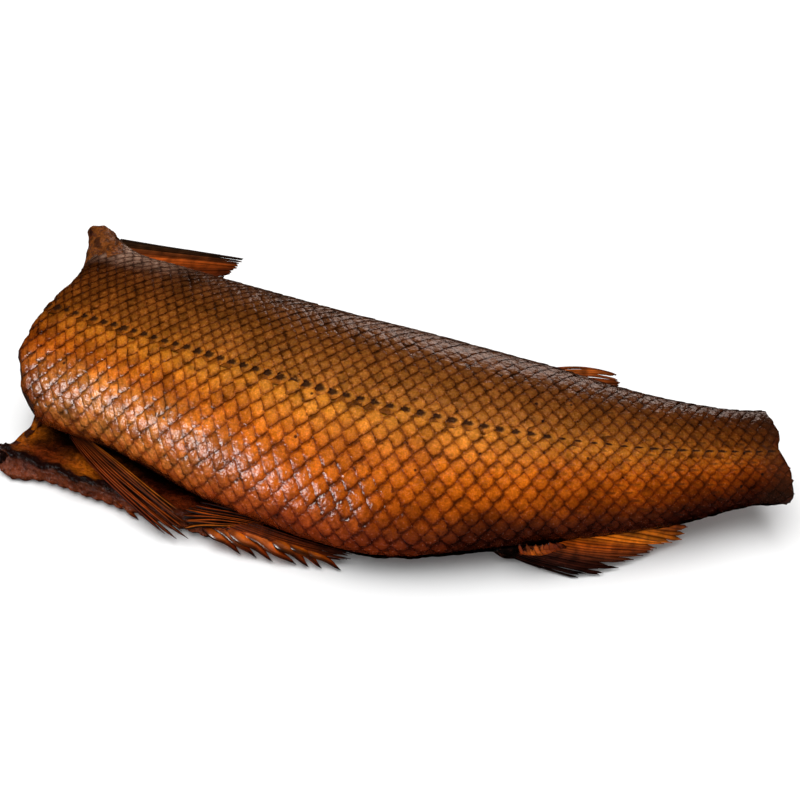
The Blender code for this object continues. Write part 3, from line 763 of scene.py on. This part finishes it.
def scale_sheet(name, girth, piece_name, material, k_low, k_high, seed):
    """Overlapping scales laid like roof tiles, a row half a gap on from the next. Each scale's rear edge is
    TIP - CORNER * |side| ** POINT, in gaps. The part that shows runs back from the edges of the two scales
    in front, and a strip more is tucked under them. It rises evenly to its rear edge, swells in the middle
    like a sine wave, and turns down at its rim."""
    draw = np.random.default_rng(seed)
    families = [family_of_scales(family, name, girth, k_low, k_high, draw)
                for family in ("above", "line", "below")]
    points, on_body, on_scale, on_line = (np.concatenate(values) for values in zip(*families))
    count, rows, sides = points.shape[:3]
    number_at = np.arange(rows * sides).reshape(rows, sides)
    edge = np.concatenate([number_at[0, ::-1], number_at[1:, 0], number_at[-1, 1:], number_at[-2:0:-1, -1]])
    faces = [repeated(grid_quads(rows, sides)[:, ::-1], count, rows * sides),
             repeated(edge[None, :], count, rows * sides)]
    piece = new_piece(piece_name, points, faces, [material],
                      {"on_body": on_body, "on_scale": on_scale, "on_line": on_line})
    piece.data.set_sharp_from_angle(angle=np.radians(50))
    return piece


# ---- cut ends ----

def slab(name, front, back, material):
    """A closed sheet between two grids of points. Each row of the front grid and the same row of the back
    one, walked the other way, make one ring of a tube, and a strip closes each end."""
    rings = np.concatenate([front, back[:, ::-1]], 1)
    rows, columns = rings.shape[:2]
    cell = np.arange(columns // 2 - 1)
    strip = np.stack([cell, cell + 1, columns - 2 - cell, columns - 1 - cell], -1)
    faces = np.concatenate([grid_quads(rows, columns, closed=True), strip,
                            strip[:, ::-1] + (rows - 1) * columns])
    return new_piece(name, rings, [faces], [material])


def contour(parts, line, inset, count):
    """Points of one line round a cut end, evenly spaced: parts lists (stretch, first k, last k)."""
    runs = []
    for name, first, last in parts:
        k = np.linspace(first, last, 200)
        runs.append(surface(name, k, line(name, k) + inset))
    run = np.concatenate(runs)
    length = np.concatenate([[0.0], np.cumsum(np.linalg.norm(np.diff(run, axis=0), axis=1))])
    even = np.linspace(0.0, length[-1], count)
    return np.stack([np.interp(even, length, run[:, axis]) for axis in range(3)], -1)


def along_body(s):
    """The unit direction of the body line at s."""
    step = place(s + 0.5, 0 * s, 0 * s) - place(s - 0.5, 0 * s, 0 * s)
    return step / np.linalg.norm(step)


def neck_cut(material):
    """The flesh at the neck: straight lines from the belly cavity's outline to the skin's, with the rough
    steps of the muscle's flakes."""
    inner = contour([("roof", 0, 1), ("floor", 0, 1), ("rim", 0, 1)], neck_line, 0.5, 180)
    outer = contour([("flank", 1, 0), ("under", 1, 0)], neck_line, 0.5, 180)
    v = np.linspace(0, 1, 46)[None, :, None]
    front = inner[:, None] + (outer - inner)[:, None] * v
    forward = along_body(np.array(NECK_S))
    across_it, height = front @ np.array([-forward[1], forward[0], 0.0]), front[..., 2]
    flakes = np.abs(ripple(across_it, height, 13.0, 21)) ** 0.6
    rough = 1.1 * flakes + 0.35 * ripple(across_it, height, 2.6, 22)
    edge = (4 * v * (1 - v))[..., 0] ** 0.35
    front = front + forward * ((0.9 + rough) * edge - 0.3)[..., None]
    return slab("neck_cut", front, front + forward * 2.0, material)


def tail_cut(material):
    """The flesh at the tail: rings that shrink to the middle, slightly hollow."""
    outline = contour([("flank", 0, 1), ("roof", 0, 1), ("floor", 0, 1), ("rim", 0, 1), ("under", 0, 1)],
                      tail_line, -0.5, 181)[:-1]
    middle = outline.mean(0)
    share = np.concatenate([[1.0], np.linspace(1.0, 0.03, 30)])[:, None, None]
    points = middle + (outline - middle)[None] * share
    inward = -along_body(np.array(TAIL_S))
    across_it, height = points[..., 1], points[..., 2]
    rough = 0.5 * ripple(across_it, height, 5.0, 31) + 0.25 * ripple(across_it, height, 2.0, 32)
    hollow = (1.6 * (1 - share**2) + 0.9 * (1 - share))[..., 0] + rough * (1 - share[..., 0]) ** 0.3
    hollow[0] = 2.4
    points = points + inward * hollow[..., None]
    return new_piece("tail_cut", points, tube_faces(*points.shape[:2]), [material])


# ---- fins ----

def along_line(corners, at):
    """Points at shares of the way along a line of corners."""
    corners = np.array(corners, float)
    knots = np.linspace(0, 1, len(corners))
    return np.stack([np.interp(at, knots, corners[:, axis]) for axis in range(3)], -1)


def tubes(name, middle, half, up, depth, material, marks):
    """Closed flat strips with lens-shaped sections round their middle lines: middle plus half * cos and up *
    depth * sin of the angle round it. marks gives each strip's stations, chance number and on_fin share."""
    ring = np.linspace(0, 2 * np.pi, 10, endpoint=False)
    across_it = np.cos(ring)[None, None, :]
    rise = np.sin(ring)[None, None, :] * (1 - 0.35 * across_it**2)
    points = (middle[:, :, None] + half[:, :, None] * across_it[..., None]
              + up[:, :, None] * (depth[..., None] / 2 * rise)[..., None])
    points[..., 2] = np.maximum(points[..., 2], 0.03)
    strips, rows, columns = points.shape[:3]
    faces = [repeated(kind, strips, rows * columns) for kind in tube_faces(rows, columns)]
    station, chance, share = (values + 0 * points[..., 0] for values in marks)
    on_ray = np.stack([station, across_it + 0 * station, chance], -1)
    return new_piece(name, points, faces, [material], {"on_ray": on_ray, "on_fin": share})


def fan(name, root, middle, tips, material, strips, fray, seed, thick=0.9, uneven=0.12, wide=1.18):
    """A fin as a fan of horny strips. Each runs on a parabola through points at the same share of the root
    line, the middle line and the tip line, each a short list of (s, across, z). It is wide times its share
    of the fan up to the fray, and narrows after it. uneven is how much shorter the shortest strip is."""
    draw = np.random.default_rng(seed)
    share = (np.arange(strips) + 0.5) / strips
    stations = np.linspace(0, 1, 36)[None, :]

    def lay(at, t):
        at, t = np.broadcast_arrays(at, t)
        first, second, third = (along_line(corners, at) for corners in (root, middle, tips))
        t = t[..., None]
        points = first * (1 - t) * (1 - 2 * t) + second * 4 * t * (1 - t) + third * t * (2 * t - 1)
        return place(*np.moveaxis(points, -1, 0))

    t = stations * (1 - uneven * draw.random((strips, 1)) ** 1.5)
    turns = t * draw.uniform(0.4, 1.1, (strips, 1)) + draw.random((strips, 1))
    sway = 0.45 / strips * np.sin(2 * np.pi * turns)
    at = share[:, None] + sway * t
    half = (lay(at + 0.5 / strips, t) - lay(at - 0.5 / strips, t)) / 2
    up = np.cross(lay(at, t + 0.01) - lay(at, t - 0.01), half)
    up = up / np.linalg.norm(up, axis=-1, keepdims=True)
    up = up * np.sign(up[..., 2:] + 1e-9)
    end = fray + (1 - fray) * draw.random((strips, 1)) * 0.4
    narrow = wide * (1 - 0.85 * smooth_step(end, 1.0, stations))
    depth = thick * (1 - 0.55 * stations) * draw.uniform(0.8, 1.2, (strips, 1))
    level = draw.uniform(-0.25, 0.25, (strips, 1)) * thick * stations
    marks = (stations[..., None], draw.random((strips, 1, 1)), share[:, None, None])
    lifted = lay(at, t) + up * level[..., None]
    return tubes(name, lifted, half * narrow[..., None], up, depth, material, marks)


def strands(name, lines, material, seed, twist=0.0, thick=0.7):
    """Torn strands of skin and dried fin. Each line gives its root and tip in (s, across, z), its half width
    and its bow upwards. Half width = width * (0.5 + 0.5 * sin(pi * t ** 0.8)) * (1.02 - t ** 7), and the
    section turns round the middle line as a rope's strand does."""
    draw = np.random.default_rng(seed)
    lines = np.array(lines, float)
    t = np.linspace(0.0, 1.0, 28)[None, :]
    root, tip = lines[:, :3, None], lines[:, 3:6, None]
    at = root + (tip - root) * t[:, None, :]
    bow = 4 * t * (1 - t)
    sway = 0.25 * lines[:, 6:7] * np.sin(2 * np.pi * (t * 1.3 + draw.random((len(lines), 1)))) * bow
    middle = place(at[:, 0], at[:, 1] + sway, at[:, 2] + lines[:, 7:8] * bow)
    ahead = np.gradient(middle, axis=1)
    side = np.cross(ahead, [0.0, 0.0, 1.0])
    side = side / np.maximum(np.linalg.norm(side, axis=-1, keepdims=True), 1e-6)
    up = np.cross(side, ahead)
    up = up / np.linalg.norm(up, axis=-1, keepdims=True)
    turn = (draw.uniform(-0.5, 0.5, (len(lines), 1)) + twist * t)[..., None]
    side, up = side * np.cos(turn) + up * np.sin(turn), up * np.cos(turn) - side * np.sin(turn)
    width = lines[:, 6:7] * (0.5 + 0.5 * np.sin(np.pi * t**0.8)) * (1.02 - t**7)
    marks = (t[..., None], draw.random((len(lines), 1, 1)), t[..., None])
    return tubes(name, middle, side * width[..., None], up, 2 * thick * width, material, marks)


# The bumps on a lump: their sizes against its own, and their heights.
LUMP_BUMPS = ((1.1, 1.0), (0.5, 0.6), (0.28, 0.3))


def lump(name, centre, radii, material, seed, rough):
    """A shrivelled lump: an ellipsoid in body coordinates, whose radius is uneven in three sizes of bumps,
    each the mean of sine waves along five directions."""
    draw = np.random.default_rng(seed)
    tilt = np.linspace(0.04, np.pi - 0.04, 40)[:, None]
    turn = np.linspace(0, 2 * np.pi, 64, endpoint=False)[None, :]
    way = np.stack(np.broadcast_arrays(np.sin(tilt) * np.cos(turn), np.sin(tilt) * np.sin(turn),
                                       np.cos(tilt)))
    bumps = 0.0
    for size, amount in LUMP_BUMPS:
        axes = draw.normal(0, 1, (5, 3))
        waves = sum(np.sin(np.tensordot(axis, way, 1) / size * 1.6 + axis[0]) for axis in axes)
        bumps = bumps + amount * waves / 5
    at = np.array(centre)[:, None, None] + np.array(radii)[:, None, None] * way * (1 + rough * bumps)
    points = place(at[0], at[1], np.maximum(at[2], 0.02))
    return new_piece(name, points, tube_faces(*points.shape[:2]), [material])


# ---- stage ----

def aimed(name, data, location, direction):
    """A lamp or a camera at a place in metres, turned to face a direction."""
    holder = bpy.data.objects.new(name, data)
    holder.location = location
    holder.rotation_euler = direction.to_track_quat("-Z", "Y").to_euler()
    bpy.context.scene.collection.objects.link(holder)
    return holder


def area_light(name, location, target, size, power, gives="both", tint="#ffffff"):
    """A soft square lamp facing the target. It gives soft light alone, glints alone, or both."""
    lamp = bpy.data.lights.new(name, "AREA")
    lamp.size, lamp.energy, lamp.color = size, power, linear(tint)[:3]
    holder = aimed(name, lamp, location, Vector(target) - Vector(location))
    holder.visible_glossy, holder.visible_diffuse = gives != "light", gives != "glints"


def stage():
    """A white table, soft light from above and behind, a small window for the glints, and the camera."""
    bpy.ops.mesh.primitive_plane_add(size=6.0, location=(0, 0, 0))
    floor = bpy.context.object
    floor.name = "table_top"
    floor.data.materials.append(lit_floor_material("white_light_table", "#f4f4f4", 0.07))
    floor.visible_glossy = False
    area_light("overhead_softbox", (-0.1, -0.1, 1.6), (0, 0, 0), 1.6, 34.0, gives="light")
    area_light("window", (-0.74, -0.68, 0.34), (0, 0, 0.02), 0.36, 9.0, gives="glints")
    area_light("back_wall", (0.0, 1.3, 0.26), (0, 0, 0.02), 0.5, 2.5, tint="#ffe8dc")
    scene = bpy.context.scene
    world = bpy.data.worlds.new("studio")
    world.use_nodes = True
    background = world.node_tree.nodes["Background"]
    background.inputs["Color"].default_value = (1.0, 1.0, 1.0, 1.0)
    background.inputs["Strength"].default_value = 0.18
    world.cycles_visibility.glossy = False
    scene.world = world
    scene.view_settings.view_transform = "Standard"
    camera = bpy.data.cameras.new("camera")
    camera.lens, camera.sensor_width = 68.0, 36.0
    azimuth, elevation, distance = np.radians(11.4), np.radians(45.0), 0.560
    target = Vector((-0.0009, 0.0112, 0.020))
    level = np.cos(elevation)
    back = Vector((np.sin(azimuth) * level, -np.cos(azimuth) * level, np.sin(elevation)))
    scene.camera = aimed("camera", camera, target + back * distance, -back)


# ---- the fish ----

def main():
    flank = Girth("flank", -0.14, 1.0)
    under = Girth("under", 0.0, 1.1)
    bare_skin = smoked_skin_material("smoked_skin_bare", scaled=False)
    scaled_skin = smoked_skin_material("smoked_skin_scaled", scaled=True)
    flap = flap_material("smoked_belly_lining")
    flesh = tissue_material("smoked_flesh", ((0.3, "#1c0a05"), (0.55, "#4a1e0a"), (0.75, "#7a3a14")), 6, 0.5)
    nape = tissue_material("smoked_nape", (
        (0.30, "#3c1e0f"), (0.45, "#4c260f"), (0.54, "#7e4418"), (0.60, "#46241a"), (0.70, "#7a4416")),
        4, 0.3, wrinkle=1.4)
    back_fin = fin_material("dried_back_fin", (
        (0.0, "#2a1a10"), (0.16, "#38200f"), (0.34, "#6a300f"), (0.55, "#9c420e"), (0.75, "#7a300a"),
        (1.0, "#2c1006")), 0.66, 0.8, char_from=0.25, charred=0.42)
    rear_fin = fin_material("dried_rear_fin", (
        (0.0, "#4a1c0a"), (0.3, "#a04e18"), (0.6, "#5a2209"), (0.8, "#8a3e10"), (1.0, "#2e1007")), 0.62, 0.8)
    dark_fin = fin_material("dried_side_fin", (
        (0.0, "#6a240a"), (0.4, "#9a400a"), (0.8, "#8a3c0e"), (1.0, "#a8580f")), 0.05, 0.4, charred=0.55)
    vent_fin = fin_material("dried_vent_fin", (
        (0.0, "#220a04"), (0.3, "#3a1408"), (0.48, "#6e2e0c"), (0.62, "#c8560c"), (0.8, "#ec7c14"),
        (1.0, "#ba500c")), 0.45, 0.7, charred=0.5)
    pelvic = fin_material("dried_pelvic_fin", ((0.0, "#74280a"), (0.5, "#84340c"), (1.0, "#4a1806")),
                          0.4, 0.5)
    torn = fin_material("torn_skin", ((0.0, "#64200a"), (0.4, "#bc5810"), (0.8, "#98380a"), (1.0, "#2c0c05")),
                        0.12, 0.95, roughness=0.24, char_from=0.8, gloss=0.45)
    char = tissue_material("charred_gristle", ((0.35, "#070302"), (0.55, "#1c0a05"), (0.7, "#52281a")),
                           2, 0.25)

    body = body_piece({"flank": flank, "under": under}, [bare_skin, flap, nape, flesh])
    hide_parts(NODE)
    scale_sheet("flank", flank, "scales_on_flank", scaled_skin, lambda s: -0.05 + 0 * s,
                lambda s: 0.955 + 0.03 * smooth_step(-20, 20, s), 11)
    scale_sheet("under", under, "scales_underneath", scaled_skin,
                lambda s: 0.25 - 0.25 * smooth_step(-30, 20, s), lambda s: 1.02 + 0 * s, 12)
    neck_cut(flesh)
    tail_cut(flesh)
    fan("dorsal_fin", [(-139, 47.6, 36), (-138, 41, 35), (-120, 37, 34), (-100, 36, 33)],
        [(-111.6, 52.4, 37), (-112, 48, 36.5), (-104, 44, 36), (-94, 41, 35)],
        [(-84.2, 56.2, 38), (-84.2, 53.8, 37.5), (-84.9, 50.2, 37), (-87.5, 45.0, 36)], back_fin,
        strips=14, thick=1.3, fray=0.98, uneven=0.03, wide=1.5, seed=2)
    fan("rear_dorsal_fin", [(54, 34, 33), (58, 30, 32.5), (72, 23, 31)],
        [(69, 35.6, 34), (72, 32, 33.4), (79, 26.5, 32)],
        [(82.4, 33.2, 34), (84.6, 30, 33.4), (84.0, 27.0, 32.6)], rear_fin,
        strips=7, thick=1.3, fray=0.92, seed=3)
    fan("pectoral_fin", [(-112.5, -31.5, 9.5), (-107, -32.5, 11), (-102.5, -32.5, 12)],
        [(-85, -47.4, 9.6), (-82, -44, 11.5), (-80.5, -40.0, 12.5)],
        [(-56.5, -55.9, 2.0), (-54.0, -53.6, 3.2), (-54.2, -50.4, 5.0), (-58.7, -46.6, 8.6)], dark_fin,
        strips=10, thick=2.4, fray=0.9, uneven=0.1, wide=1.05, seed=4)
    fan("front_pelvic_fin", [(-31.0, -41.0, 9.4), (-31.7, -43.6, 8.5)],
        [(-44, -41.0, 11), (-45, -45.0, 10), (-44, -48.2, 8.6)],
        [(-56.0, -42.0, 10.5), (-58.8, -45, 9.5), (-57.4, -48.9, 8.6), (-55.3, -52.7, 7.0)], dark_fin,
        strips=8, thick=1.6, fray=0.92, wide=1.05, seed=5)
    fan("rear_pelvic_fin", [(-44.5, -49.0, 7.6), (-40, -46.0, 9.4), (-34, -43.0, 9.6)],
        [(-23, -48.6, 6.2), (-21, -46.6, 8.0), (-18, -44.0, 8.6)],
        [(-3.6, -45.2, 3.2), (0.9, -43.4, 3.8), (-1.0, -42.0, 5.0)], pelvic, strips=9, fray=0.93, seed=6)
    fan("anal_fin", [(50, -31.5, 3), (51, -34.5, 10), (53.5, -36, 15.5), (60, -34.2, 15), (68, -30, 14.5),
                     (79, -25.5, 15.5), (91, -21, 16)],
        [(61, -34.4, 1.9), (65.6, -34.6, 6.2), (71.2, -32.8, 8.9), (80, -29, 9.8), (90.4, -24.4, 10.4),
         (99, -18.6, 11.4)],
        [(72.2, -36.4, 0.8), (80, -33.0, 1.0), (88, -28.0, 1.8), (97, -23.4, 2.6), (104.4, -21.0, 3.0),
         (107, -15.2, 5.2)],
        vent_fin, strips=24, thick=1.0, fray=0.86, uneven=0.2, wide=1.4, seed=7)
    strands("belly_petals", [
        (-50.5, -48.6, 6.0, -36.1, -51.9, 1.4, 1.9, 1.8), (-47.0, -47.6, 6.8, -30.6, -51.7, 1.4, 2.0, 2.0),
        (-43.5, -47.2, 7.4, -25.3, -51.3, 1.4, 2.3, 2.0), (-39.5, -46.4, 7.4, -17.7, -50.0, 1.4, 2.5, 2.0),
        (-33.5, -46.6, 7.0, -20.0, -49.6, 1.8, 2.1, 2.0), (-28.0, -45.8, 7.0, -13.7, -49.7, 1.4, 2.4, 2.0),
        (-22.5, -45.6, 6.6, -9.5, -49.0, 1.4, 2.0, 1.6), (-17.5, -45.6, 6.0, -3.5, -47.6, 0.9, 1.7, 1.0)],
        torn, 8, twist=0.8)
    fan("vent_fold", [(51.6, -34.6, 9.5), (58, -36.0, 12), (66, -32.6, 12.5)],
        [(51.4, -36.2, 13.8), (57.0, -36.9, 15.2), (64.6, -33.8, 15.0)],
        [(50.6, -36.4, 18.0), (56.2, -36.6, 18.8), (63.2, -33.8, 17.2)], torn,
        strips=11, thick=0.8, fray=0.7, uneven=0.5, wide=1.9, seed=8)
    strands("torn_fringe", [
        (-83.5, -47.4, 3.4, -74.5, -50.3, 0.8, 1.1, 0.5), (-85.0, -47.0, 6.2, -80.5, -49.9, 3.4, 1.2, 0.4)],
        torn, 9, thick=0.3)
    lump("flap_lump", (-130.2, -47.6, 5.6), (3.4, 3.4, 4.6), char, 51, rough=0.34)
    lump("vent_lump", (47.4, -30.8, 8.0), (5.4, 2.8, 5.4), char, 52, rough=0.3)
    stage()


main()
